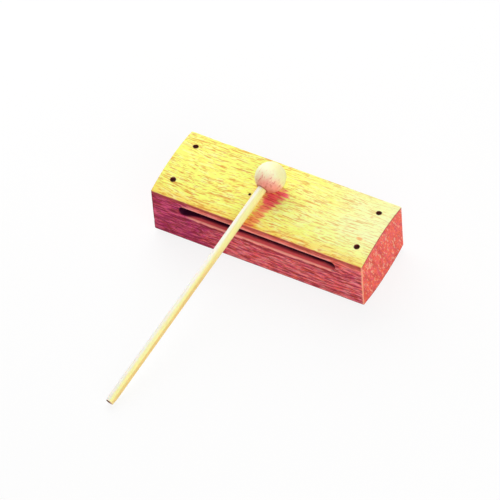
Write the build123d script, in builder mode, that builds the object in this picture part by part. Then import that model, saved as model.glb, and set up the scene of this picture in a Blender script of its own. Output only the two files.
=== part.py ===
from build123d import *
import os
from math import asin, atan2, cos, degrees, hypot, radians, sin, sqrt

# School woodblock with a loose ball mallet lying across it. Millimetres and degrees.
# The origin is the middle of the block's underside: +X along its length, slot facing -Y, +Z up.

# Block, one piece of hardwood with flat faces and a rounded top and underside
block_length = 190.0
block_width = 70.0
face_height = 46.6  # of the front and back faces
crown = 4.1  # how far the top and the underside swell beyond those faces
base_flat_width = 24.0  # planed along the underside, so that the block stands still
block_edge_radius = 0.8

# Sound slot, milled straight into the front face with a round-ended cutter path
sound_wall = 7.8  # wood left above the slot, at the front face
slot_height = 9.3
slot_end_wall = 24.5  # solid wood left at each end of the slot
slot_back_wall = 18.0  # solid wood left behind the slot
slot_lip_radius = 1.0

# Corner nails, punched below the top, that keep the sound wall from splitting off the ends
nail_inset = 15.6  # from the front and back faces
nail_head_diameter = 4.4
nail_head_thickness = 1.1
nail_shank_diameter = 2.6
nail_point_length = 5.0
nail_set_depth = 1.8  # from the top down to the nail's head
nail_cover = 7.0  # from the underside's flat up to the nail's point
nail_clearance = 0.03

# Pinhole in the top
pinhole_diameter = 2.2
pinhole_depth = 2.0
pinhole_x = -19.2
pinhole_y = -7.8

# Mallet: a turned ball glued on a dowel
head_diameter = 25.4
head_bore_depth = 16.0
stick_diameter = 7.5
stick_length = 228.8
stick_end_chamfer = 0.6
glue_clearance = 0.05

# How the mallet lies: head on the block's top, free end on the table
head_x = -6.6
head_inset = 40.4  # from the front face back to the middle of the head
mallet_yaw = 9.3  # the stick's turn towards the left end, seen from above
rest_clearance = 0.3

# Section of the block: both crowns have one radius, and the flat takes a little off the lower one
crown_radius = (block_width**2 / 4 + crown**2) / (2 * crown)
flat_loss = crown_radius - sqrt(crown_radius**2 - base_flat_width**2 / 4)
low_edge = crown - flat_loss
high_edge = low_edge + face_height
crest = high_edge + crown
crown_axis = crest - crown_radius


def top_at(y):
    return crown_axis + sqrt(crown_radius**2 - y**2)


# Sizes that follow
front_y = -block_width / 2
back_y = block_width / 2
slot_length = block_length - 2 * slot_end_wall
slot_depth = block_width - slot_back_wall
slot_middle = high_edge - sound_wall - slot_height / 2
head_radius = head_diameter / 2
stick_radius = stick_diameter / 2
nail_head_radius = nail_head_diameter / 2
nail_shank_radius = nail_shank_diameter / 2

# Each nail stands in the middle of an end wall, clear of the slot
nail_x = (block_length - slot_end_wall) / 2
nail_y = block_width / 2 - nail_inset
nail_z = top_at(nail_y) - nail_set_depth
nail_length = nail_z - nail_cover
nail_places = {
    "nail_front_left": (-nail_x, -nail_y, nail_z),
    "nail_front_right": (nail_x, -nail_y, nail_z),
    "nail_back_left": (-nail_x, nail_y, nail_z),
    "nail_back_right": (nail_x, nail_y, nail_z),
}

# Stations along the stick's axis, from the middle of the head towards the free end
bore_bottom = head_radius - head_bore_depth
stick_start = bore_bottom + glue_clearance
stick_end = stick_start + stick_length

# The head touches the crown, unless the stick meets the front edge first and holds the head up
head_y = front_y + head_inset
head_on_crown = crown_axis + sqrt((crown_radius + head_radius + rest_clearance) ** 2 - head_y**2)
yaw = radians(mallet_yaw)
floor_lever = stick_end - stick_end_chamfer
edge_lever = (head_inset - block_edge_radius) / cos(yaw)
edge_standoff = block_edge_radius + rest_clearance + stick_radius
head_z = head_on_crown
for settling in range(20):
    lean = asin(head_z / hypot(floor_lever, stick_radius)) - atan2(stick_radius, floor_lever)
    head_over_edge = high_edge - block_edge_radius + (edge_standoff + edge_lever * sin(lean)) / cos(lean)
    head_z = max(head_on_crown, head_over_edge)
stick_direction = Vector(-sin(yaw) * cos(lean), -cos(yaw) * cos(lean), -sin(lean))
head_middle = Vector(head_x, head_y, head_z)
mallet_plane = Plane(origin=head_middle, z_dir=stick_direction)
print(f"block stands {crest:.3f} high, its faces from {low_edge:.3f} to {high_edge:.3f}")
print(f"mallet leans {degrees(lean):.2f} degrees, middle of the head at {head_middle}")
os.makedirs("parts", exist_ok=True)


def nail_half_outline(top, gap):
    head = nail_head_radius + gap
    shank = nail_shank_radius + gap
    tip = -nail_length - gap
    Polyline(
        (0, top),
        (head, top),
        (head, -nail_head_thickness),
        (shank, -nail_head_thickness),
        (shank, tip + nail_point_length),
        (0, tip),
        close=True,
    )


with BuildPart() as nail:
    with BuildSketch(Plane.XZ):
        with BuildLine():
            nail_half_outline(top=0, gap=0)
        make_face()
    revolve(axis=Axis.Z)

# The nail's own shape with a little room round it, opened up to the block's top
with BuildPart() as nail_hole:
    with BuildSketch(Plane.XZ):
        with BuildLine():
            nail_half_outline(top=2 * nail_set_depth, gap=nail_clearance)
        make_face()
    revolve(axis=Axis.Z)

with BuildPart() as tone_block:
    with BuildSketch(Plane.YZ.offset(-block_length / 2)) as section:
        with BuildLine():
            Line((front_y, low_edge), (front_y, high_edge))
            ThreePointArc((front_y, high_edge), (0, crest), (back_y, high_edge))
            Line((back_y, high_edge), (back_y, low_edge))
            RadiusArc((back_y, low_edge), (base_flat_width / 2, 0), crown_radius)
            Line((base_flat_width / 2, 0), (-base_flat_width / 2, 0))
            RadiusArc((-base_flat_width / 2, 0), (front_y, low_edge), crown_radius)
        make_face()
        across = section.vertices().sort_by(Axis.Y)
        fillet(across[:2] + across[-2:], block_edge_radius)
    extrude(amount=block_length)
    fillet(tone_block.faces().filter_by(Axis.X).edges(), block_edge_radius)
    with BuildSketch(Plane.XZ.offset(block_width / 2)):
        with Locations((0, slot_middle)):
            SlotOverall(slot_length, slot_height)
    extrude(amount=-slot_depth, mode=Mode.SUBTRACT)
    front_face = tone_block.faces().filter_by(Axis.Y).sort_by(Axis.Y)[0]
    fillet(front_face.inner_wires()[0].edges(), slot_lip_radius)
    with Locations(*nail_places.values()):
        add(nail_hole.part, mode=Mode.SUBTRACT)
    with Locations((pinhole_x, pinhole_y, crest)):
        Hole(pinhole_diameter / 2, crest - top_at(pinhole_y) + pinhole_depth)
tone_block.part.label = "tone_block"
export_step(tone_block.part, "parts/tone_block.step")

for name, place in nail_places.items():
    with BuildPart() as corner_nail:
        with Locations(place):
            add(nail.part)
    corner_nail.part.label = name
    export_step(corner_nail.part, f"parts/{name}.step")

with BuildPart(mallet_plane) as mallet_head:
    Sphere(head_radius)
    with BuildSketch(mallet_plane.offset(bore_bottom)):
        Circle(stick_radius + glue_clearance)
    extrude(amount=head_diameter, mode=Mode.SUBTRACT)
mallet_head.part.label = "mallet_head"
export_step(mallet_head.part, "parts/mallet_head.step")

with BuildPart() as mallet_stick:
    with BuildSketch(mallet_plane.offset(stick_start)):
        Circle(stick_radius)
    extrude(amount=stick_length)
    chamfer(mallet_stick.edges().filter_by(GeomType.CIRCLE), stick_end_chamfer)
mallet_stick.part.label = "mallet_stick"
export_step(mallet_stick.part, "parts/mallet_stick.step")
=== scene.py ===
import math
import random
from types import SimpleNamespace

import bmesh
import bpy
from mathutils import Matrix, Vector, noise


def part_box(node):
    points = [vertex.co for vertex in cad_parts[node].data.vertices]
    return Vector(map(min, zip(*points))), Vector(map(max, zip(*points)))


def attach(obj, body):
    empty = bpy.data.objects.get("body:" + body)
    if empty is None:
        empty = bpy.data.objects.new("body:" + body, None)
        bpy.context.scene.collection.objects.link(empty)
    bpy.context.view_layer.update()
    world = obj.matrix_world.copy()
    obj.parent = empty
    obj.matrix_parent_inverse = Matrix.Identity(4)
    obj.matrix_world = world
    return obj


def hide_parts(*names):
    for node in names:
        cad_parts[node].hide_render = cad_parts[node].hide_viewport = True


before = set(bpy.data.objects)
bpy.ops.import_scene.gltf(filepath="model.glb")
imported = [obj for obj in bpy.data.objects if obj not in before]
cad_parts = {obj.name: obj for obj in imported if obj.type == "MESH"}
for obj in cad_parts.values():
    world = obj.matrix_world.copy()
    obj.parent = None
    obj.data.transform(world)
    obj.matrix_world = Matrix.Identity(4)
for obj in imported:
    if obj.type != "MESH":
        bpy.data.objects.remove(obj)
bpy.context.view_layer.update()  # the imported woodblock, a fixed frame in metres
scene = bpy.context.scene
scene.view_settings.view_transform = "Standard"
mm = 0.001
perMetre = 1000  # millimetres, in which the materials count
print("frame:", ", ".join(sorted(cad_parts)))

# Camera at the photograph's viewing angle
viewPlan = {
    "target": Vector((-16.842, -18.544, -2.234)) * mm,
    "distance": 4.5,
    "azimuth": math.radians(31.6774),
    "elevation": math.radians(49.8204),
    "roll": math.radians(-4.9842),
    "lens": 402.652,
    "sensor": 36.0,
}


def addCamera(plan):
    azimuth, elevation, roll = plan["azimuth"], plan["elevation"], plan["roll"]
    level = math.cos(elevation)
    back = Vector((math.sin(azimuth) * level, -math.cos(azimuth) * level, math.sin(elevation)))
    right = Vector((math.cos(azimuth), math.sin(azimuth), 0))
    up = back.cross(right)
    imageRight = right * math.cos(roll) + up * math.sin(roll)
    imageUp = up * math.cos(roll) - right * math.sin(roll)
    lensData = bpy.data.cameras.new("viewCamera")
    lensData.lens = plan["lens"]
    lensData.sensor_width = plan["sensor"]
    viewer = bpy.data.objects.new("viewCamera", lensData)
    aim = Matrix((imageRight, imageUp, back)).transposed().to_4x4()
    viewer.matrix_world = Matrix.Translation(plan["target"] + back * plan["distance"]) @ aim
    scene.collection.objects.link(viewer)
    scene.camera = viewer


addCamera(viewPlan)
print("camera placed")


# One socket of a node tree, with arithmetic that adds Math nodes
class Wire:
    def __init__(self, tree, socket):
        self.tree = tree
        self.socket = socket

    def node(self, kind, settings=None, values=None, output=0):
        made = self.tree.nodes.new(kind)
        for name, value in (settings or {}).items():
            setattr(made, name, value)
        for key, value in (values or {}).items():
            if isinstance(value, Wire):
                self.tree.links.new(value.socket, made.inputs[key])
            else:
                made.inputs[key].default_value = value
        return Wire(self.tree, made.outputs[output])

    def math(self, operation, first, second=0.0):
        return self.node("ShaderNodeMath", {"operation": operation}, {0: first, 1: second})

    def __add__(self, other):
        return self.math("ADD", self, other)

    def __radd__(self, other):
        return self.math("ADD", other, self)

    def __sub__(self, other):
        return self.math("SUBTRACT", self, other)

    def __rsub__(self, other):
        return self.math("SUBTRACT", other, self)

    def __mul__(self, other):
        return self.math("MULTIPLY", self, other)

    def __rmul__(self, other):
        return self.math("MULTIPLY", other, self)

    def __truediv__(self, other):
        return self.math("DIVIDE", self, other)

    def __abs__(self):
        return self.math("ABSOLUTE", self)

    def least(self, other):
        return self.math("MINIMUM", self, other)

    def most(self, other):
        return self.math("MAXIMUM", self, other)

    def root(self):
        return self.math("SQRT", self)

    # 0 below low, 1 above high, smooth between
    def rise(self, low, high):
        limits = {"Value": self, "From Min": low, "From Max": high}
        return self.node("ShaderNodeMapRange", {"interpolation_type": "SMOOTHSTEP"}, limits)

    # this value picks between two colours
    def blend(self, first, second):
        return self.node("ShaderNodeMix", {"data_type": "RGBA"}, {0: self, 6: first, 7: second}, 2)

    def vector(self, operation, other, output=0):
        return self.node("ShaderNodeVectorMath", {"operation": operation}, {0: self, 1: other}, output)

    def dot(self, direction):
        return self.vector("DOT_PRODUCT", direction, 1)

    def parts(self):
        return [self.node("ShaderNodeSeparateXYZ", {}, {0: self}, axis) for axis in range(3)]

    # noise drawn out by the three stretches, in cells per millimetre
    def grain(self, stretch, detail=2.0, rough=0.5, shift=(0, 0, 0)):
        moved = self.vector("ADD", shift).vector("MULTIPLY", stretch)
        values = {"Vector": moved, "Scale": 1.0, "Detail": detail, "Roughness": rough}
        return self.node("ShaderNodeTexNoise", {}, values)


# a colour as it is seen, 0 to 255, in the linear light that the shaders count in
def ink(red, green, blue):
    levels = [value / 255 for value in (red, green, blue)]
    linear = [((level + 0.055) / 1.055) ** 2.4 if level > 0.04045 else level / 12.92 for level in levels]
    return (*linear, 1.0)


# inks laid one over another, each by its own share
def layer(colour, coats):
    for share, coat in coats:
        colour = share.blend(colour, coat)
    return colour


# squared distance from the middle of an oval spot, 1 at its rim
def oval(x, y, spot):
    across, along = (x - spot["x"]) / spot["width"], (y - spot["y"]) / spot["length"]
    return across * across + along * along


def startMaterial(name):
    material = bpy.data.materials.new(name)
    material.use_nodes = True
    return material, Wire(material.node_tree, None).node("ShaderNodeTexCoord", output="Object")


# the way the surface looks, in the object's own axes
def facing(place):
    return place.node("ShaderNodeTexCoord", output="Normal")


def inMillimetres(place):
    return place.vector("MULTIPLY", (perMetre, perMetre, perMetre))


# a little light passes below the surface of the wood
def woodSheen(bleed, specular):
    return {
        "Subsurface Weight": 0.2,
        "Subsurface Radius": bleed,
        "Subsurface Scale": 1.5 * mm,
        "Specular IOR Level": specular,
    }


def dress(material, wired, relief, depth, fixed):
    shader = material.node_tree.nodes["Principled BSDF"]
    bump = relief.node("ShaderNodeBump", {}, {"Strength": 1.0, "Distance": depth, "Height": relief})
    for name, wire in {**wired, "Normal": bump}.items():
        material.node_tree.links.new(wire.socket, shader.inputs[name])
    for name, value in fixed.items():
        shader.inputs[name].default_value = value
    return material


def paint(piece, material):
    piece.data.materials.clear()
    piece.data.materials.append(material)
    return piece


def addObject(name, mesh, material=None):
    made = bpy.data.objects.new(name, mesh)
    scene.collection.objects.link(made)
    return paint(made, material) if material else made


# the evaluated object as a plain mesh, with its modifiers taken off
def bake(piece):
    bpy.context.view_layer.update()
    graph = bpy.context.evaluated_depsgraph_get()
    mesh = bpy.data.meshes.new_from_object(piece.evaluated_get(graph))
    piece.modifiers.clear()
    piece.data = mesh
    mesh.name = piece.name
    return piece


def smooth(mesh, crease):
    mesh.polygons.foreach_set("use_smooth", [True] * len(mesh.polygons))
    mesh.set_sharp_from_angle(angle=math.radians(crease))


# faces between two rings, where a ring of one point is a pole
def bridge(shape, first, second):
    count = max(len(first), len(second))
    for step in range(count):
        following = (step + 1) % count
        if len(first) == 1:
            corners = (first[0], second[step], second[following])
        elif len(second) == 1:
            corners = (first[step], second[0], first[following])
        else:
            corners = (first[step], second[step], second[following], first[following])
        shape.faces.new(corners)


# a turned shape from its half outline, listed from pole to pole as (radius, height)
def turn(shape, outline, segments, place=Matrix.Identity(4)):
    rings = []
    for radius, height in outline:
        ring = []
        for step in range(segments if radius else 1):
            angle = 2 * math.pi * step / segments
            spot = Vector((radius * math.cos(angle), radius * math.sin(angle), height))
            ring.append(shape.verts.new(place @ spot))
        rings.append(ring)
    for first, second in zip(rings, rings[1:]):
        bridge(shape, first, second)


def meshFrom(shape, name):
    bmesh.ops.recalc_face_normals(shape, faces=shape.faces)
    mesh = bpy.data.meshes.new(name)
    shape.to_mesh(mesh)
    shape.free()
    return mesh


# a new node tree, the wires of its inputs, and the identifiers by which a modifier sets them
def startTree(name, kinds):
    tree = bpy.data.node_groups.new(name, "GeometryNodeTree")
    identifiers = {}
    for label, kind in kinds.items():
        socket = tree.interface.new_socket(label, in_out="INPUT", socket_type="NodeSocket" + kind)
        identifiers[label] = socket.identifier
    tree.interface.new_socket("Made", in_out="OUTPUT", socket_type="NodeSocketGeometry")
    entry = tree.nodes.new("NodeGroupInput")
    given = {label: Wire(tree, entry.outputs[label]) for label in kinds}
    return tree, given, identifiers


def endTree(tree, geometry, finish):
    real = geometry.node("GeometryNodeRealizeInstances", {}, {"Geometry": geometry})
    finished = geometry.node("GeometryNodeSetMaterial", {}, {"Geometry": real, "Material": finish})
    tree.links.new(finished.socket, tree.nodes.new("NodeGroupOutput").inputs[0])


# runs a tree on a piece and keeps the mesh that it makes
def grow(piece, tree, identifiers, values):
    growing = piece.modifiers.new(tree.name, "NODES")
    growing.node_group = tree
    for label, value in values.items():
        growing[identifiers[label]] = value
    return bake(piece)


# Block: worn, with a rounded top and underside, and its sound slot, nail holes and pinhole cut out
blockPlan = {
    "step": 1.5 * mm,  # of the mesh, whose lines crowd towards the edges
    "edgeLines": [line * mm for line in (0, 0.25, 0.5, 0.8, 1.2, 1.7, 2.4)],
    "crease": 38,
    "faceHeight": 46.6 * mm,
    "crown": 4.1 * mm,
    "baseFlat": 24 * mm,
    "baseFace": -0.7,  # faces that look further down than this take no dents
    "edgeRadius": 0.8 * mm,
    "edgeWear": 0.3 * mm,
    "rubScales": (95, 260),
    "fineRub": 0.55,
    "rubShare": 0.2,  # a higher share rubs more of each edge
    "handWear": 0.06 * mm,
    "handScale": 40,
    "dents": 18,
    "dentWidth": (1.2 * mm, 2.8 * mm),
    "dentDepth": (0.1 * mm, 0.3 * mm),
    "dentReach": 0.95,  # share of an edge's length
    "seed": 11,
    "slotLength": 141 * mm,
    "slotHeight": 9.3 * mm,
    "slotDepths": [depth * mm for depth in (6, 14, 24, 36, 52)],
    "slotSteps": 90,
    "arcSteps": 20,
    "soundWall": 7.8 * mm,
    "lipRadius": 1.0 * mm,
    "lipWear": 0.5 * mm,
    "lipShares": [0.04, 0.12, 0.28, 0.55, 1.0],  # depths of its rings, in lip radii
    "lipScales": (70, 200),
    "lipSeed": 3.0,
    "lipRub": 0.35,
    "upperLip": 0.4,  # the upper lip's share of that wear
    "standOut": 2.0,  # of the slot's cutter, in lip radii
    "overrun": 1 * mm,  # of the holes' cutters above the top
    "pinhole": {
        "x": -19.2 * mm,
        "y": -7.8 * mm,
        "radius": 1.1 * mm,
        "depth": 2.0 * mm,
        "taper": 0.1 * mm,
        "segments": 24,
    },
    # marks on the top, in millimetres: the mallet's painted shadow, whose smear leans and shifts and broadens
    # to the back, a fainter painted shadow round it, and one small mark
    "malletShadow": {"x": 2.9, "y": -16.0, "width": 4.7, "length": 24.0, "lean": 0.30},
    "malletShadowBack": {"shift": 2.4, "broader": 3.6},
    "faintShadow": {"x": -7.0, "y": -7.0, "width": 12.5, "length": 23.0},
    "smudge": {"x": 81.1, "y": -11.7, "width": 3.4, "length": 1.7},
    "relief": 0.12 * mm,
    "inks": {
        "lemon": ink(247, 254, 122),
        "paleLemon": ink(246, 255, 194),
        "amber": ink(252, 200, 88),
        "pore": ink(222, 132, 40),
        "shadowCrimson": ink(255, 88, 116),
        "ember": ink(252, 132, 86),
        "smudge": ink(244, 160, 92),
        "rose": ink(246, 87, 92),
        "plum": ink(180, 24, 88),
        "wine": ink(104, 0, 10),
        "blush": ink(255, 176, 176),
        "berry": ink(252, 112, 150),
        "sienna": ink(255, 112, 48),
        "mulberry": ink(206, 48, 150),
        "umber": ink(160, 58, 40),
        "coral": ink(252, 100, 82),
        "peach": ink(255, 198, 160),
        "brick": ink(196, 48, 40),
        "slotDark": ink(64, 6, 40),
        "slotFloor": ink(255, 104, 110),
        "lip": ink(255, 162, 146),
        "holeStainAndShade": ink(58, 12, 10),
        "edge": ink(254, 180, 142),
    },
}
# the nails, whose holes are cut out of the block
nailPlan = {
    "headRadius": 2.2 * mm,
    "headThickness": 1.1 * mm,
    "shankRadius": 1.3 * mm,
    "pointLength": 5.0 * mm,
    "collar": 0.5 * mm,  # below the head, where the shank swells
    "gap": 0.03 * mm,
    "holeMouth": 0.15 * mm,
    "mouthDepth": 0.5 * mm,
    "segments": 40,
    "crease": 40,
    "seed": 4,
    "relief": 0.05 * mm,
    "inks": {"iron": ink(48, 14, 12), "worn": ink(98, 44, 32), "rust": ink(122, 46, 28)},
}
nailNames = ["nail_front_left", "nail_front_right", "nail_back_left", "nail_back_right"]
nailBoxes = [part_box(name) for name in nailNames]
nailPlaces = [Vector(((low.x + high.x) / 2, (low.y + high.y) / 2, high.z)) for low, high in nailBoxes]
nailLength = nailBoxes[0][1].z - nailBoxes[0][0].z
blockLow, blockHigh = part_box("tone_block")
halfLength, halfWidth = (blockHigh.x - blockLow.x) / 2, (blockHigh.y - blockLow.y) / 2
crownRadius = (halfWidth**2 + blockPlan["crown"] ** 2) / (2 * blockPlan["crown"])
flatLoss = crownRadius - math.sqrt(crownRadius**2 - (blockPlan["baseFlat"] / 2) ** 2)
lowEdge = blockLow.z + blockPlan["crown"] - flatLoss  # the front face's lower and upper edges
highEdge = lowEdge + blockPlan["faceHeight"]
slotMiddle = highEdge - blockPlan["soundWall"] - blockPlan["slotHeight"] / 2
blockMiddle = Vector((0, 0, (lowEdge + highEdge) / 2))
blockHalf = Vector((halfLength, halfWidth, blockPlan["faceHeight"] / 2))


# how far the top and the underside stand beyond the front face's edges
def swell(y):
    return math.sqrt(crownRadius**2 - y**2) - crownRadius + blockPlan["crown"]


def crowned(point):
    stretch = 1 + swell(point.y) / blockHalf.z
    height = blockMiddle.z + (point.z - blockMiddle.z) * stretch
    return Vector((point.x, point.y, max(blockLow.z, height)))


def gridLines(low, high, plan):
    edge = plan["edgeLines"]
    start, end = low + edge[-1], high - edge[-1]
    count = max(1, round((end - start) / plan["step"]))
    inner = [start + (end - start) * step / count for step in range(1, count)]
    return [low + line for line in edge] + inner + [high - line for line in reversed(edge)]


def edgeDents(plan):
    draw = random.Random(plan["seed"])
    dents = []
    for _ in range(plan["dents"]):
        along = draw.randrange(3)
        spot = Vector([draw.choice((-1, 1)) * blockHalf[axis] for axis in range(3)])
        spot[along] = draw.uniform(-plan["dentReach"], plan["dentReach"]) * blockHalf[along]
        dents.append((blockMiddle + spot, draw.uniform(*plan["dentWidth"]), draw.uniform(*plan["dentDepth"])))
    return dents


# uneven rubbing along the edges, none at all in places
def rubbing(point, plan):
    coarse, fine = [noise.noise(point * scale) for scale in plan["rubScales"]]
    return max(0.0, coarse + plan["fineRub"] * fine + plan["rubShare"])


def wornPoint(point, dents, plan):
    local = point - blockMiddle
    radius = plan["edgeRadius"] + plan["edgeWear"] * rubbing(point, plan)
    inner = Vector([max(radius - half, min(half - radius, value)) for value, half in zip(local, blockHalf)])
    out = (local - inner).normalized()
    local = inner + out * radius
    if out.z > plan["baseFace"]:
        local -= out * plan["handWear"] * (0.5 + 0.5 * noise.noise(point * plan["handScale"]))
        for spot, width, depth in dents:
            away = (point - spot).length
            if away < 3 * width:  # a dent has faded out beyond that
                local -= out * depth * math.exp(-((away / width) ** 2))
    return crowned(blockMiddle + local)


def wornBox(plan):
    dents = edgeDents(plan)
    low, high = blockMiddle - blockHalf, blockMiddle + blockHalf
    lines = [gridLines(low[axis], high[axis], plan) for axis in range(3)]
    shape = bmesh.new()
    made = {}

    def corner(index):
        if index not in made:
            point = Vector([lines[axis][index[axis]] for axis in range(3)])
            made[index] = shape.verts.new(wornPoint(point, dents, plan))
        return made[index]

    for axis in range(3):
        first, second = (axis + 1) % 3, (axis + 2) % 3
        for side in (0, len(lines[axis]) - 1):
            for u in range(len(lines[first]) - 1):
                for v in range(len(lines[second]) - 1):
                    corners = []
                    for stepU, stepV in ((0, 0), (1, 0), (1, 1), (0, 1)):
                        index = [0, 0, 0]
                        index[axis], index[first], index[second] = side, u + stepU, v + stepV
                        corners.append(corner(tuple(index)))
                    shape.faces.new(corners)
    return shape


# the slot's outline, a stadium, as points of its middle line with the outward direction at each
def slotOutline(plan):
    radius = plan["slotHeight"] / 2
    reach = plan["slotLength"] / 2 - radius
    straight, arc = plan["slotSteps"], plan["arcSteps"]
    outline = []
    for side in (-1, 1):  # along the lower side and round the right end, then the other two
        for step in range(straight):
            along = side * (reach - 2 * reach * step / straight)
            outline.append((Vector((along, 0)), Vector((0, side))))
        for step in range(arc):
            angle = math.pi * (step / arc + side * 0.5)
            outline.append((Vector((-side * reach, 0)), Vector((math.cos(angle), math.sin(angle)))))
    return outline, radius


# the lip's radius at a spot of the slot's outline, uneven where it is worn
def lipAt(spot, out, plan):
    along, upright = plan["lipScales"]
    place = Vector((spot.x * along, spot.y * upright, plan["lipSeed"]))
    rub = max(0.0, noise.noise(place) + plan["lipRub"])
    return plan["lipRadius"] + plan["lipWear"] * rub * (1.0 if out.y < 0.3 else plan["upperLip"])


def cutSlot(shape, plan):
    outline, radius = slotOutline(plan)
    lips = [lipAt(middle + out * radius, out, plan) for middle, out in outline]
    lipShares = plan["lipShares"]
    rings = []

    def addRing(depths, spreads):
        ring = []
        for (middle, out), depth, spread in zip(outline, depths, spreads):
            point = middle + out * (radius + spread)
            ring.append(shape.verts.new((point.x, blockLow.y + depth, slotMiddle + point.y)))
        rings.append(ring)

    for share in [-plan["standOut"]] + lipShares:
        inside = max(share, lipShares[0])
        spreads = [lip - math.sqrt(lip**2 - (lip * (1 - inside)) ** 2) for lip in lips]
        addRing([share * lip for lip in lips], spreads)
    for depth in plan["slotDepths"]:
        addRing([depth] * len(outline), [0.0] * len(outline))
    for first, second in zip(rings, rings[1:]):
        bridge(shape, first, second)
    shape.faces.new(rings[0])
    shape.faces.new(rings[-1])


def cutHoles(shape, plan):
    nail, pin, over = nailPlan, plan["pinhole"], plan["overrun"]
    top = highEdge + swell(nailPlaces[0].y) - nailPlaces[0].z
    head, shank = nail["headRadius"] + nail["gap"], nail["shankRadius"] + nail["gap"]
    under = -nail["headThickness"] - nail["gap"]
    mouth, deep = nail["holeMouth"], nail["mouthDepth"]
    nailHole = [
        (0, -nailLength - nail["gap"]),
        (shank, nail["pointLength"] - nailLength),
        (shank, under),
        (head, under),
        (head, top - deep),
        (head + 0.3 * mouth, top - 0.4 * deep),
        (head + mouth, top),
        (head + 1.4 * mouth, top + over),
        (0, top + over),
    ]
    for place in nailPlaces:
        turn(shape, nailHole, nail["segments"], Matrix.Translation(place))
    radius, taper, floor = pin["radius"], pin["taper"], -pin["depth"]
    pinhole = [
        (0, floor),
        (radius - 3 * taper, 0.85 * floor),
        (radius - taper, 0.3 * floor),
        (radius, 0),
        (radius + taper, over),
        (0, over),
    ]
    place = Matrix.Translation((pin["x"], pin["y"], highEdge + swell(pin["y"])))
    turn(shape, pinhole, pin["segments"], place)


def makeBlock(plan):
    piece = addObject("toneBlock", meshFrom(wornBox(plan), "toneBlock"))
    cutters = bmesh.new()
    cutSlot(cutters, plan)
    cutHoles(cutters, plan)
    cutter = addObject("blockCutter", meshFrom(cutters, "blockCutter"))
    cut = piece.modifiers.new("cut", "BOOLEAN")
    cut.operation = "DIFFERENCE"
    cut.solver = "EXACT"
    cut.object = cutter
    bake(piece)
    bpy.data.objects.remove(cutter)
    smooth(piece.data, plan["crease"])
    return piece


# places, grain and faces that the block's colours share, in millimetres
def blockGrain(place):
    wood = SimpleNamespace()
    wood.faceX, wood.faceY, wood.faceZ = facing(place).parts()
    place = inMillimetres(place)
    wood.x, wood.y, wood.z = place.parts()
    wood.edgeX, wood.edgeY = halfLength / mm, halfWidth / mm
    wood.fromFront = wood.y + wood.edgeY
    # straight grain that wanders a little along the block
    drift = place.grain((0.012, 0.03, 0.03), 1.0)
    lean = drift.node("ShaderNodeCombineXYZ", {}, {1: (drift - 0.5) * 14.0, 2: (drift - 0.5) * 9.0})
    fibre = place.vector("ADD", lean)
    wood.broad = fibre.grain((0.010, 0.10, 0.10), 2.0)
    wood.streak = fibre.grain((0.024, 0.50, 0.50), 3.0, 0.55)
    wood.dash = fibre.grain((0.075, 0.80, 0.80), 2.0, 0.5, (31, 7, 5)).rise(0.53, 0.66)
    wood.tick = fibre.grain((0.17, 1.35, 1.35), 1.0, 0.5, (11, 23, 2)).rise(0.56, 0.68)
    wood.fine = fibre.grain((0.30, 3.6, 3.6), 2.0, 0.5, (3, 17, 41)).rise(0.52, 0.72)
    wood.thread = fibre.grain((0.075, 0.80, 0.80), 2.0, 0.6, (7, 29, 13))
    wood.tint = fibre.grain((0.15, 1.0, 1.0), 2.0, 0.6, (5, 43, 19))
    wood.mottle = fibre.grain((0.10, 0.42, 0.42), 2.0, 0.55, (17, 3, 29))
    wood.patch = place.grain((0.030, 0.05, 0.05), 2.0, 0.5, (9, 2, 4))
    # which face of the block this is
    wood.up = wood.faceZ.rise(0.30, 0.62) * wood.z.rise(46, 48)
    wood.front = (0 - wood.faceY).rise(0.7, 0.9) * (1 - wood.fromFront.rise(1.0, 2.0))
    wood.end = abs(wood.faceX).rise(0.55, 0.85) * abs(wood.x).rise(wood.edgeX - 5, wood.edgeX - 3)
    return wood


# lemon gold, painted as the lit face: a painted sheen pales it to the right, and painted shade deepens it
# along the front edge
def topColour(wood, inks):
    paintedSheen = (wood.x + (wood.patch - 0.5) * 90).rise(-15, 110) * (0.36 + 0.54 * wood.fromFront.rise(3, 26))
    frontEdge = 1 - (wood.fromFront + (wood.streak - 0.5) * 14).rise(0.5, 11)
    strength = wood.patch.rise(0.22, 0.55) * (1 - paintedSheen * 0.6)
    strength = strength.most(frontEdge * 0.9)
    coats = [
        (paintedSheen, inks["paleLemon"]),
        (frontEdge * 0.55, inks["amber"]),
        (wood.streak.rise(0.48, 0.72) * (0.40 - paintedSheen * 0.2), inks["amber"]),
        ((1 - wood.mottle).rise(0.50, 0.64) * 0.34, inks["paleLemon"]),
        (wood.dash * strength * 0.75, inks["pore"]),
        (wood.tick * (0.25 - paintedSheen * 0.12 + strength * 0.55), inks["pore"]),
        (wood.fine * (0.20 - paintedSheen * 0.08), inks["pore"]),
    ]
    return layer(inks["lemon"], coats)


# the mallet's painted shadow: a smear that narrows to the front, in a fainter painted shadow round it
def paintedMalletShadow(wood, plan):
    x, y, spot, back = wood.x, wood.y, plan["malletShadow"], plan["malletShadowBack"]
    spread = y.rise(-15, 1)
    across = x - spot["x"] - y * spot["lean"] + spread * back["shift"]
    across = across / (spot["width"] + spread * back["broader"])
    along = (y - spot["y"]) / spot["length"]
    smear = across * across + along * along * along * along
    fray = (wood.mottle - 0.5) * 4.4 + (wood.streak - 0.5) * 2.8
    malletShadow = (1 - (smear + fray).rise(0.1, 1.7)) * (0.82 + y.rise(-24, -8) * 0.12)
    faintShadow = 1 - (oval(x, y, plan["faintShadow"]) + fray * 0.8).rise(0.2, 1.4)
    return malletShadow.most(faintShadow * 0.2)
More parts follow.
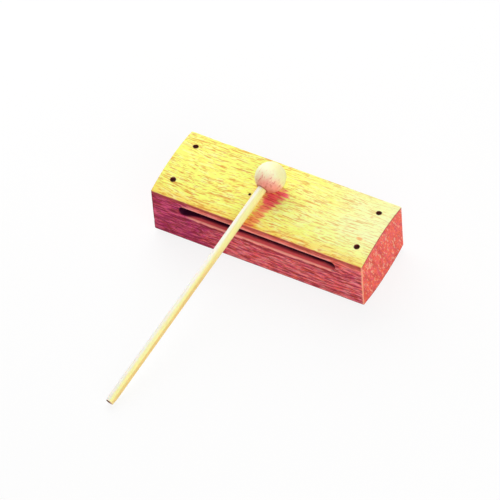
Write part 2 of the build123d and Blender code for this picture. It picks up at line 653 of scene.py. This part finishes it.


# front, back and underside, painted as the wood in shade: red, plum towards the left
def sideColour(wood, inks):
    x, z = wood.x, wood.z
    overSlot = z.rise(41, 44) * x.rise(-66, -56)
    plum = (1 - (x + (wood.broad - 0.5) * 60).rise(-66, -12)) * (1 - overSlot * 0.9)
    pale = plum.blend(inks["blush"], inks["berry"])
    deeper = 0.92 + x.rise(0, 60) * 0.2
    wall = wood.front * z.rise(42.5, 44.0) * x.rise(-64, -54)  # thin wood above the slot
    brown = wood.front * z.rise(46.2, 47.8) * (1 - z.rise(49.0, 50.0))  # a line just below the top
    coats = [
        (plum * 0.96, inks["plum"]),
        (wood.broad.rise(0.45, 0.7) * 0.25, inks["plum"]),
        (wood.tint.rise(0.50, 0.62) * (0.5 - plum * 0.2), inks["sienna"]),
        ((1 - wood.tint).rise(0.50, 0.62) * 0.36, inks["mulberry"]),
        (wood.streak.rise(0.52, 0.68) * 0.22, inks["wine"]),
        ((1 - wood.streak).rise(0.53, 0.70) * 0.28, pale),
        (wood.thread.rise(0.53, 0.60) * deeper * 0.60, inks["wine"]),
        ((1 - wood.thread).rise(0.52, 0.62) * 0.4, pale),
        (wood.mottle.rise(0.51, 0.64) * deeper * 0.4, inks["wine"]),
        ((1 - wood.mottle).rise(0.52, 0.64) * 0.36, pale),
        (wood.dash * 0.36, inks["wine"]),
        (wood.tick * (0.46 + plum * 0.3), inks["wine"]),
        (wood.fine * (0.28 + plum * 0.2), inks["wine"]),
        (wall * 0.3, inks["ember"]),
        (brown * 0.7, inks["umber"]),
    ]
    return layer(inks["rose"], coats)


# ends, painted as the wood in shade: coral, with pale flecks that lean across the grain
def endColour(wood, inks):
    level, slant = 0.89, 0.45  # the flecks' lean
    leaned = wood.y * level + wood.z * slant
    stood = wood.z * level - wood.y * slant
    place = leaned.node("ShaderNodeCombineXYZ", {}, {0: leaned, 1: stood, 2: wood.x * 0.2})
    fleck = place.grain((0.62, 0.17, 0.4), 2.0).rise(0.54, 0.64)
    vessel = place.grain((0.75, 0.5, 0.4), 2.0, 0.6, (13, 5, 0)).rise(0.52, 0.64)
    rings = place.grain((0.24, 0.035, 0.2), 2.0, 0.5, (2, 8, 0))
    tint = place.grain((0.5, 0.25, 0.4), 2.0, 0.6, (3, 31, 0))
    coats = [
        (rings.rise(0.45, 0.66) * 0.5, inks["brick"]),
        (tint.rise(0.50, 0.62) * 0.4, inks["sienna"]),
        ((1 - tint).rise(0.50, 0.62) * 0.2, inks["mulberry"]),
        (fleck * 0.64, inks["peach"]),
        (vessel * 0.54, inks["brick"]),
    ]
    return layer(inks["coral"], coats)


# inside of the slot: painted light on the floor near the mouth and painted shade further in, painted
# highlights along the lips, and a dark line below
def slotColour(wood, colour, plan):
    x, depth, inks = wood.x, wood.fromFront, plan["inks"]
    half = plan["slotHeight"] / 2 / mm
    reach = plan["slotLength"] / 2 / mm - half
    deep = plan["slotDepths"][-1] / mm
    beyond = (abs(x) - reach).most(0.0)
    height = wood.z - slotMiddle / mm
    mouth = (beyond * beyond + height * height).root()
    inSlot = (1 - mouth.rise(half + 0.1, half + 0.3)) * (1 - depth.rise(deep + 1, deep + 2))
    litFurther = x.rise(-45, 5) * (1 - x.rise(58, 66))  # the painted light on the floor reaches further in towards the right
    shaded = 1 - (x + reach).rise(-4, 14)  # the left end stays dark up to the mouth
    reached = depth + (wood.streak - 0.5) * 2 - litFurther * 0.9 + shaded * 4
    glow = inSlot * wood.faceZ.rise(0.4, 0.9) * (1 - reached.rise(2.5, 5.5))
    # painted highlights along the lower and upper lips
    ragged = mouth + (wood.mottle - 0.5) * 3
    lowLipHighlight = (1 - ragged.rise(half + 0.9, half + 2.1)) * (1 - depth.rise(0.5, 1.3))
    lowLipHighlight = lowLipHighlight * (0 - height).rise(3.8, 4.6) * (x + reach).rise(0, 8) * (1 - beyond.rise(0, 2))
    highLipHighlight = (1 - ragged.rise(half + 1.2, half + 4.0)) * (1 - depth.rise(0.6, 1.4))
    highLipHighlight = highLipHighlight * height.rise(3.0, 4.6) * 0.68 * (1 - beyond.rise(0, 3))
    below = wood.front * (1 - abs(height + 8.2).rise(0.4, 1.8)) * (1 - beyond.rise(0, 4))
    coats = [
        (glow * 0.85, inks["slotFloor"]),
        (inSlot * reached.rise(2.0, 5.8), inks["slotDark"]),
        (lowLipHighlight.most(highLipHighlight), inks["lip"]),
        (below * 0.52, inks["wine"]),
    ]
    return layer(colour, coats)


# stain round the nail holes, with painted shade on the holes' walls and in the pinhole
def holeStainAndShade(wood, plan):
    x, y, pin = wood.x, wood.y, plan["pinhole"]
    gapX = abs(x) - abs(nailPlaces[0].x) / mm
    gapY = abs(y - nailPlaces[0].y / mm).least(abs(y - nailPlaces[2].y / mm))
    ring = (gapX * gapX + gapY * gapY).root()
    nails = 1 - (ring + (wood.streak - 0.5) * 1.2).rise(2.1, 2.9)
    pinX, pinY = x - pin["x"] / mm, y - pin["y"] / mm
    pricked = 1 - (pinX * pinX + pinY * pinY).root().rise(0.9, 1.5)
    return nails.most(pricked) * wood.z.rise(40, 44)


# shares of wear, partly painted highlight, and of dark lines, partly painted shade, along the block's edges
def edgeShares(wood, plan):
    x, y, z, up = wood.x, wood.y, wood.z, wood.up
    rimX, rimY = wood.edgeX - abs(x), wood.edgeY - abs(y)
    stretch = 1 + (1 - y * y / wood.edgeY**2) * (plan["crown"] / blockHalf.z)
    rimZ = blockHalf.z / mm - abs(z - blockMiddle.z / mm) / stretch
    ragged = (wood.streak - 0.5) * 1.6
    # handled edges, most of all the upright ones, paler with wear and with a painted highlight where the
    # rounded edges catch the light
    upright = 1 - (rimX.most(rimY) + ragged).rise(0.3, 1.5)
    level = 1 - (rimX.least(rimY).most(rimZ) + ragged).rise(0.2, 1.2)
    worn = (upright * 0.75 * x.rise(-60, 30)).most(level * 0.28 * z.rise(20, 30)) * (1 - up * 0.8)
    # dark lines along the lower edges, painted contact shade, and along the front's left edge and the top of
    # the ends
    low = (1 - rimZ.rise(0.5, 1.6)) * (1 - z.rise(15, 20)) * (1 - (0 - wood.faceZ).rise(0.5, 0.8))
    left = (1 - (x + wood.edgeX).rise(0.5, 1.6)) * (1 - up) * (1 - wood.end)
    crest = wood.end * (1 - rimZ.rise(0.8, 2.2)) * z.rise(40, 45) * (1 - up)
    return worn, (low * 0.7).most(left * 0.6).most(crest * 0.55)


def blockWood(plan):
    inks = plan["inks"]
    material, place = startMaterial("blockWood")
    wood = blockGrain(place)
    # the mallet's cast shadow painted on the top: crimson near the ball, orange towards the front, with
    # darker dashes in it
    malletShadow = paintedMalletShadow(wood, plan)
    shadowTint = (wood.y + (wood.mottle - 0.5) * 30).rise(-26, -8).blend(inks["ember"], inks["shadowCrimson"])
    smudge = 1 - (oval(wood.x, wood.y, plan["smudge"]) + (wood.streak - 0.5) * 1.5).rise(0.2, 1.2)
    topShadowAndMark = [
        (malletShadow, shadowTint),
        (malletShadow * wood.dash.most(wood.tick) * 0.6, inks["brick"]),
        (smudge * 0.8, inks["smudge"]),  # one small mark by the front right nail
    ]
    # the top and the other faces are lit and shaded copies of one wood: painted gold where the light falls,
    # red where the shade falls
    colour = wood.end.blend(sideColour(wood, inks), endColour(wood, inks))
    colour = wood.up.blend(colour, layer(topColour(wood, inks), topShadowAndMark))
    colour = slotColour(wood, colour, plan)
    worn, darkLinesAndShade = edgeShares(wood, plan)
    stainsWearAndPaintedLight = [
        (holeStainAndShade(wood, plan) * 0.9, inks["holeStainAndShade"]),
        (worn, inks["edge"]),
        (darkLinesAndShade, inks["wine"]),
    ]
    roughness = 0.5 + wood.dash * 0.12 + wood.fine * 0.1 - worn * 0.1 - malletShadow * wood.up * 0.12
    relief = 0.35 * wood.streak - 0.5 * wood.dash - 0.4 * wood.tick - 0.3 * wood.fine
    wired = {"Base Color": layer(colour, stainsWearAndPaintedLight), "Roughness": roughness}
    return dress(material, wired, relief, plan["relief"], woodSheen((1.0, 0.4, 0.2), 0.16))


toneBlock = paint(makeBlock(blockPlan), blockWood(blockPlan))
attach(toneBlock, "block")
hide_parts("tone_block")
print("block:", len(toneBlock.data.polygons), "faces")


# Nails: one turned nail, dished on its head, set on its four places
def nailPattern(plan):
    head, shank, thick = plan["headRadius"], plan["shankRadius"], plan["headThickness"]
    outline = [
        (0, -nailLength),
        (0.35 * shank, 0.3 * plan["pointLength"] - nailLength),
        (shank, plan["pointLength"] - nailLength),
        (shank, -thick - plan["collar"]),
        (1.15 * shank, -thick),
        (0.94 * head, -thick),
        (head, -0.8 * thick),
        (head, -0.3 * thick),
        (0.9 * head, -0.06 * thick),
        (0.42 * head, 0),
        (0.36 * head, -0.06 * thick),
        (0.2 * head, -0.2 * thick),
        (0, -0.24 * thick),
    ]
    shape = bmesh.new()
    turn(shape, outline, plan["segments"])
    mesh = meshFrom(shape, "nailPattern")
    smooth(mesh, plan["crease"])
    return addObject("nailPattern", mesh)


def nailTree():
    kinds = {"Places": "Geometry", "Nail": "Object", "Seed": "Int", "Finish": "Material"}
    tree, given, identifiers = startTree("nailsOnPlaces", kinds)
    start = given["Seed"]
    nail = start.node("GeometryNodeObjectInfo", {}, {"Object": given["Nail"]}, "Geometry")
    limits = {2: 0.0, 3: 2 * math.pi, "Seed": given["Seed"]}
    turns = start.node("FunctionNodeRandomValue", {"data_type": "FLOAT"}, limits, 1)
    euler = start.node("ShaderNodeCombineXYZ", {}, {2: turns})
    rotation = start.node("FunctionNodeEulerToRotation", {}, {0: euler})
    values = {"Points": given["Places"], "Instance": nail, "Rotation": rotation}
    endTree(tree, start.node("GeometryNodeInstanceOnPoints", {}, values), given["Finish"])
    return tree, identifiers


def nailSteel(plan):
    inks = plan["inks"]
    material, place = startMaterial("nailSteel")
    place = inMillimetres(place)
    scale = place.grain((2.2, 2.2, 2.2), 4.0, 0.6)
    rust = place.grain((0.9, 0.9, 0.9), 3.0, 0.6, (5, 9, 1)).rise(0.48, 0.66)
    coats = [(scale.rise(0.45, 0.7), inks["worn"]), (rust * 0.8, inks["rust"])]
    wired = {
        "Base Color": layer(inks["iron"], coats),
        "Roughness": 0.62 + rust * 0.25 + scale * 0.1,
        "Metallic": 0.35 - rust * 0.3,
    }
    return dress(material, wired, scale + rust * 0.5, plan["relief"], {"Specular IOR Level": 0.3})


def makeNails(plan, finish):
    pattern = nailPattern(plan)
    places = bpy.data.meshes.new("cornerNails")
    places.from_pydata(nailPlaces, [], [])
    piece = addObject("cornerNails", places)
    tree, identifiers = nailTree()
    grow(piece, tree, identifiers, {"Nail": pattern, "Seed": plan["seed"], "Finish": finish})
    bpy.data.objects.remove(pattern)
    return piece


cornerNails = makeNails(nailPlan, nailSteel(nailPlan))
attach(cornerNails, "block")
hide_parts(*nailNames)
print("nails:", len(cornerNails.data.polygons), "faces")


# Mallet: where its stick and its ball lie in the frame
def stickLine():
    points = [vertex.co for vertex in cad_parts["mallet_stick"].data.vertices]
    middle = sum(points, Vector()) / len(points)
    headEnd = [point for point in points if point.y > middle.y]
    freeEnd = [point for point in points if point.y <= middle.y]
    axis = (sum(freeEnd, Vector()) / len(freeEnd) - sum(headEnd, Vector()) / len(headEnd)).normalized()
    reach = [(point - middle).dot(axis) for point in points]
    return middle + axis * min(reach), axis, max(reach) - min(reach)


stickStart, stickAxis, stickLength = stickLine()
headLow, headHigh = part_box("mallet_head")
headMiddle = (headLow + headHigh) / 2
headMiddle = stickStart + stickAxis * (headMiddle - stickStart).dot(stickAxis)
acrossOne = stickAxis.cross(Vector((0, 0, 1))).normalized()
acrossTwo = stickAxis.cross(acrossOne).normalized()
malletTurn = Matrix((acrossOne, acrossTwo, stickAxis)).transposed().to_4x4()
print("mallet:", [round(value / mm, 3) for value in headMiddle], "stick", round(stickLength / mm, 2))


# millimetres from the middle of the ball, along the stick and across it, one by one and as a place
def malletPlace(place):
    away = place.vector("SUBTRACT", headMiddle)
    lengths = [away.dot(axis) * perMetre for axis in (stickAxis, acrossOne, acrossTwo)]
    return lengths, away.node("ShaderNodeCombineXYZ", {}, dict(enumerate(lengths)))


headPlan = {
    "radius": 12.7 * mm,
    "bore": 3.8 * mm,
    "boreDepth": 16.0 * mm,
    "mouth": 0.45 * mm,  # eased round the stick
    "dimple": 1.6 * mm,  # left by the lathe's centre
    "dimpleDepth": 0.12 * mm,
    "rings": 60,
    "segments": 96,
    "crease": 40,
    "relief": 0.06 * mm,
    "shadedSide": Vector((0.22, -0.89, -0.39)),  # the ways that the painted shade and the yellower wood lie
    "yellowerSide": Vector((0.85, 0.52, 0.0)),
    "inks": {
        "cream": ink(255, 255, 214),
        "honey": ink(253, 248, 186),
        "peach": ink(254, 214, 178),
        "pink": ink(250, 164, 148),
        "line": ink(206, 120, 100),
        "russet": ink(206, 112, 92),
        "collar": ink(150, 70, 60),
    },
}


def headOutline(plan):
    radius, bore, mouth = plan["radius"], plan["bore"], plan["mouth"]
    dimple, deep = plan["dimple"], plan["dimpleDepth"]
    start = math.asin(dimple / radius)
    stop = math.pi - math.asin((bore + mouth) / radius)
    pole = -radius * math.cos(start)
    outline = [(0, pole + deep), (0.7 * dimple, pole + 0.5 * deep)]
    for step in range(plan["rings"] + 1):
        angle = start + (stop - start) * step / plan["rings"]
        outline.append((radius * math.sin(angle), -radius * math.cos(angle)))
    rim = -radius * math.cos(stop)
    for ease, drop in ((0.35, 0.15), (0.08, 0.55), (0, 1.2)):
        outline.append((bore + ease * mouth, rim - drop * mouth))
    floor = radius - plan["boreDepth"]
    return outline + [(bore, floor), (0, floor)]


def headWood(plan):
    inks = plan["inks"]
    material, place = startMaterial("headWood")
    (along, first, second), spot = malletPlace(place)
    away = place.vector("SUBTRACT", headMiddle)
    towardShade = away.dot(plan["shadedSide"]) * perMetre
    yellower = away.dot(plan["yellowerSide"]) * perMetre
    drift = spot.grain((0.05, 0.09, 0.09), 1.0)
    band = spot.grain((0.05, 0.50, 0.16), 3.0)
    fleck = spot.grain((0.30, 0.62, 0.62), 2.0, 0.6, (4, 8, 2)).rise(0.51, 0.66)
    fine = spot.grain((0.35, 3.0, 3.0), 2.0).rise(0.5, 0.75)
    lines = spot.grain((3.2, 0.02, 0.02), 1.0, 0.4)  # turning marks
    # painted shade: a rounded redder patch on the ball's shaded side, russet at its lower limb
    aside = yellower + 2.0
    ballShade = towardShade - aside * aside * 0.034
    ballShade = ballShade + (drift - 0.5) * 8 + (band - 0.5) * 4 + (fleck - 0.5) * 3
    # painted shade round the stick where it goes in
    collar = along.rise(9.8, 11.2) * (1 - (first * first + second * second).root().rise(4.5, 6.2))
    coats = [
        ((yellower + (drift - 0.5) * 6).rise(-3, 8), inks["honey"]),
        (ballShade.rise(-4, 3.5), inks["peach"]),
        (ballShade.rise(1.0, 6.5), inks["pink"]),
        (fleck * (0.04 + ballShade.rise(-2, 7) * 0.38), inks["line"]),
        (fine * 0.14, inks["line"]),
        (ballShade.rise(6.5, 12) * 0.75, inks["russet"]),
        (collar * 0.6, inks["collar"]),
    ]
    roughness = 0.48 + fine * 0.12 + (lines - 0.5) * 0.1
    relief = band * 0.2 - fine * 0.4 - fleck * 0.3 + lines * 0.3
    wired = {"Base Color": layer(inks["cream"], coats), "Roughness": roughness}
    return dress(material, wired, relief, plan["relief"], woodSheen((1.0, 0.5, 0.3), 0.3))


headShape = bmesh.new()
turn(headShape, headOutline(headPlan), headPlan["segments"], Matrix.Translation(headMiddle) @ malletTurn)
malletHead = addObject("malletHead", meshFrom(headShape, "malletHead"), headWood(headPlan))
smooth(malletHead.data, headPlan["crease"])
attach(malletHead, "mallet")
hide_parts("mallet_head")
print("mallet head:", len(malletHead.data.polygons), "faces")

# Stick: a dowel drawn along its line, with eased ends
stickPlan = {
    "dowel": {
        "Radius": 3.75 * mm,
        "Ease": 0.6 * mm,
        "Wobble": 0.05 * mm,
        "Waves": 55.0,  # to a metre of its length
        "Rings": 220,
        "Sides": 56,
    },
    "crease": 50,
    "relief": 0.06 * mm,
    "inks": {
        "straw": ink(255, 250, 168),
        "cream": ink(255, 253, 240),
        "amber": ink(226, 160, 84),
        "line": ink(220, 172, 92),
        "sawn": ink(104, 58, 44),
        "sawnPale": ink(232, 190, 160),
    },
}


def stickTree():
    kinds = {"Geometry": "Geometry"}
    kinds.update({label: "Float" for label in ("Radius", "Ease", "Wobble", "Waves", "Length")})
    kinds.update({label: "Int" for label in ("Rings", "Sides")})
    kinds.update({label: "Vector" for label in ("Start", "Axis")})
    kinds["Finish"] = "Material"
    tree, given, identifiers = startTree("dowelAlongLine", kinds)
    length, ease = given["Length"], given["Ease"]
    values = {"Start": given["Start"], "Direction": given["Axis"], "Length": length}
    line = length.node("GeometryNodeCurvePrimitiveLine", {"mode": "DIRECTION"}, values)
    line = line.node("GeometryNodeResampleCurve", {}, {"Curve": line, "Count": given["Rings"]})
    # rings crowd towards both ends, where the dowel is eased
    share = line.node("GeometryNodeSplineParameter", output="Factor")
    swing = share.math("COSINE", share * math.pi)
    along = (1 - swing) * 0.5 * length
    reach = along.node("ShaderNodeVectorMath", {"operation": "SCALE"}, {0: given["Axis"], 3: along})
    spots = reach.vector("ADD", given["Start"])
    line = line.node("GeometryNodeSetPosition", {}, {"Geometry": line, "Position": spots})
    kept = line.node("GeometryNodeCaptureAttribute", {}, {"Geometry": line})
    kept.socket.node.capture_items.new("FLOAT", "along")
    tree.links.new(along.socket, kept.socket.node.inputs["along"])
    travelled = Wire(tree, kept.socket.node.outputs["along"])
    fromEnd = travelled.least(length - travelled)
    inside = (ease - fromEnd).most(0.0)
    drop = ease - (ease * ease - inside * inside).most(0.0).root()
    values = {"W": travelled * given["Waves"], "Detail": 2.0, "Scale": 1.0}
    wave = travelled.node("ShaderNodeTexNoise", {"noise_dimensions": "1D"}, values)
    radius = given["Radius"] - drop - wave * given["Wobble"]
    ring = line.node("GeometryNodeCurvePrimitiveCircle", {}, {"Resolution": given["Sides"], "Radius": 1.0})
    values = {"Curve": kept, "Profile Curve": ring, "Scale": radius, "Fill Caps": True}
    endTree(tree, line.node("GeometryNodeCurveToMesh", {}, values), given["Finish"])
    return tree, identifiers


def stickWood(plan):
    inks = plan["inks"]
    material, place = startMaterial("stickWood")
    (along, first, _), spot = malletPlace(place)
    broad = spot.grain((0.008, 0.25, 0.25), 2.0)
    line = spot.grain((0.018, 1.2, 1.2), 2.0).rise(0.52, 0.70)
    fine = spot.grain((0.12, 3.2, 3.2), 1.0).rise(0.52, 0.75)
    # painted light and shade: pale along the lit side, an amber line along the shaded side
    litSide = (first + (broad - 0.5) * 4).rise(-2.6, 1.2)
    amber = (1 - (first + (broad - 0.5) * 2.5).rise(-3.7, -2.2)) * (0.12 + 0.78 * along.rise(55, 110))
    # the sawn end, with painted shade darker on one side
    rings = spot.grain((0.1, 1.6, 0.7), 2.0)
    sawn = (first + (rings - 0.5) * 5).rise(-1.6, 1.2).blend(inks["sawnPale"], inks["sawn"])
    cutEnd = facing(place).dot(stickAxis).rise(0.75, 0.95)
    coats = [
        (litSide, inks["cream"]),
        (amber * 0.6, inks["amber"]),
        (line * 0.24, inks["line"]),
        (fine * 0.10, inks["line"]),
        (cutEnd, sawn),
    ]
    roughness = 0.46 + fine * 0.12 + cutEnd * 0.25
    relief = line * -0.3 - fine * 0.4 + rings * cutEnd * 0.6
    wired = {"Base Color": layer(inks["straw"], coats), "Roughness": roughness}
    return dress(material, wired, relief, plan["relief"], woodSheen((1.0, 0.5, 0.2), 0.3))


def makeStick(plan, finish):
    piece = addObject("malletStick", bpy.data.meshes.new("malletStick"))
    tree, identifiers = stickTree()
    line = {"Length": stickLength, "Start": stickStart, "Axis": stickAxis, "Finish": finish}
    grow(piece, tree, identifiers, {**plan["dowel"], **line})
    smooth(piece.data, plan["crease"])
    return piece


malletStick = makeStick(stickPlan, stickWood(stickPlan))
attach(malletStick, "mallet")
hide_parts("mallet_stick")
print("mallet stick:", len(malletStick.data.polygons), "faces")

# Floor and soft studio light
stagePlan = {
    "floor": 4.0,
    "floorDrop": 0.05 * mm,
    "floorTone": 0.93,
    "floorWhite": 0.84,
    "keyFrom": Vector((-0.7, 0.8, 1.0)).normalized(),  # a wide soft box behind the left end
    "keyDistance": 1.3,
    "keyWidth": 1.8,
    "keyPower": 18.3,
    "fillFrom": Vector((0.72, -0.60, 0.52)).normalized(),
    "fillDistance": 1.5,
    "fillWidth": 1.6,
    "fillPower": 13.5,
    "sky": (1.0, 0.97, 0.95, 1),
    "skyStrength": 0.3,
    "white": (1, 1, 1, 1),
}


# 1 for rays that see the background directly or mirrored
def seenDirectly(start):
    kinds = ("Camera", "Glossy", "Transmission")
    seen = [start.node("ShaderNodeLightPath", output=f"Is {kind} Ray") for kind in kinds]
    return seen[0].most(seen[1]).most(seen[2])


def addFloor(plan):
    half = plan["floor"] / 2
    mesh = bpy.data.meshes.new("floor")
    corners = [(x * half, y * half, -plan["floorDrop"]) for x, y in ((-1, -1), (1, -1), (1, 1), (-1, 1))]
    mesh.from_pydata(corners, [], [(0, 1, 2, 3)])
    material = bpy.data.materials.new("floorPaper")
    material.use_nodes = True
    tree = material.node_tree
    tree.nodes.clear()
    start = Wire(tree, None)
    tone = plan["floorTone"]
    paper = start.node("ShaderNodeBsdfDiffuse", {}, {"Color": (tone, tone, tone, 1)})
    white = start.node("ShaderNodeEmission", {}, {"Color": plan["white"], "Strength": 1.0})
    share = seenDirectly(start) * plan["floorWhite"]
    mixed = start.node("ShaderNodeMixShader", {}, {0: share, 1: paper, 2: white})
    leave = tree.nodes.new("ShaderNodeOutputMaterial")
    tree.links.new(mixed.socket, leave.inputs["Surface"])
    addObject("floor", mesh, material)


def addLamp(name, plan):
    lamp = bpy.data.lights.new(name + "Lamp", "AREA")
    lamp.shape = "DISK"
    lamp.size = plan[name + "Width"]
    lamp.energy = plan[name + "Power"]
    piece = bpy.data.objects.new(name + "Lamp", lamp)
    piece.location = plan[name + "From"] * plan[name + "Distance"]
    piece.rotation_euler = plan[name + "From"].to_track_quat("Z", "Y").to_euler()
    piece.visible_camera = False
    scene.collection.objects.link(piece)


def addSky(plan):
    world = bpy.data.worlds.new("studio")
    world.use_nodes = True
    scene.world = world
    tree = world.node_tree
    tree.nodes.clear()
    start = Wire(tree, None)
    soft = start.node("ShaderNodeBackground", {}, {"Color": plan["sky"], "Strength": plan["skyStrength"]})
    white = start.node("ShaderNodeBackground", {}, {"Color": plan["white"], "Strength": 1.0})
    mixed = start.node("ShaderNodeMixShader", {}, {0: seenDirectly(start), 1: soft, 2: white})
    leave = tree.nodes.new("ShaderNodeOutputWorld")
    tree.links.new(mixed.socket, leave.inputs["Surface"])


addFloor(stagePlan)
addLamp("key", stagePlan)
addLamp("fill", stagePlan)
addSky(stagePlan)
print("floor and light placed")
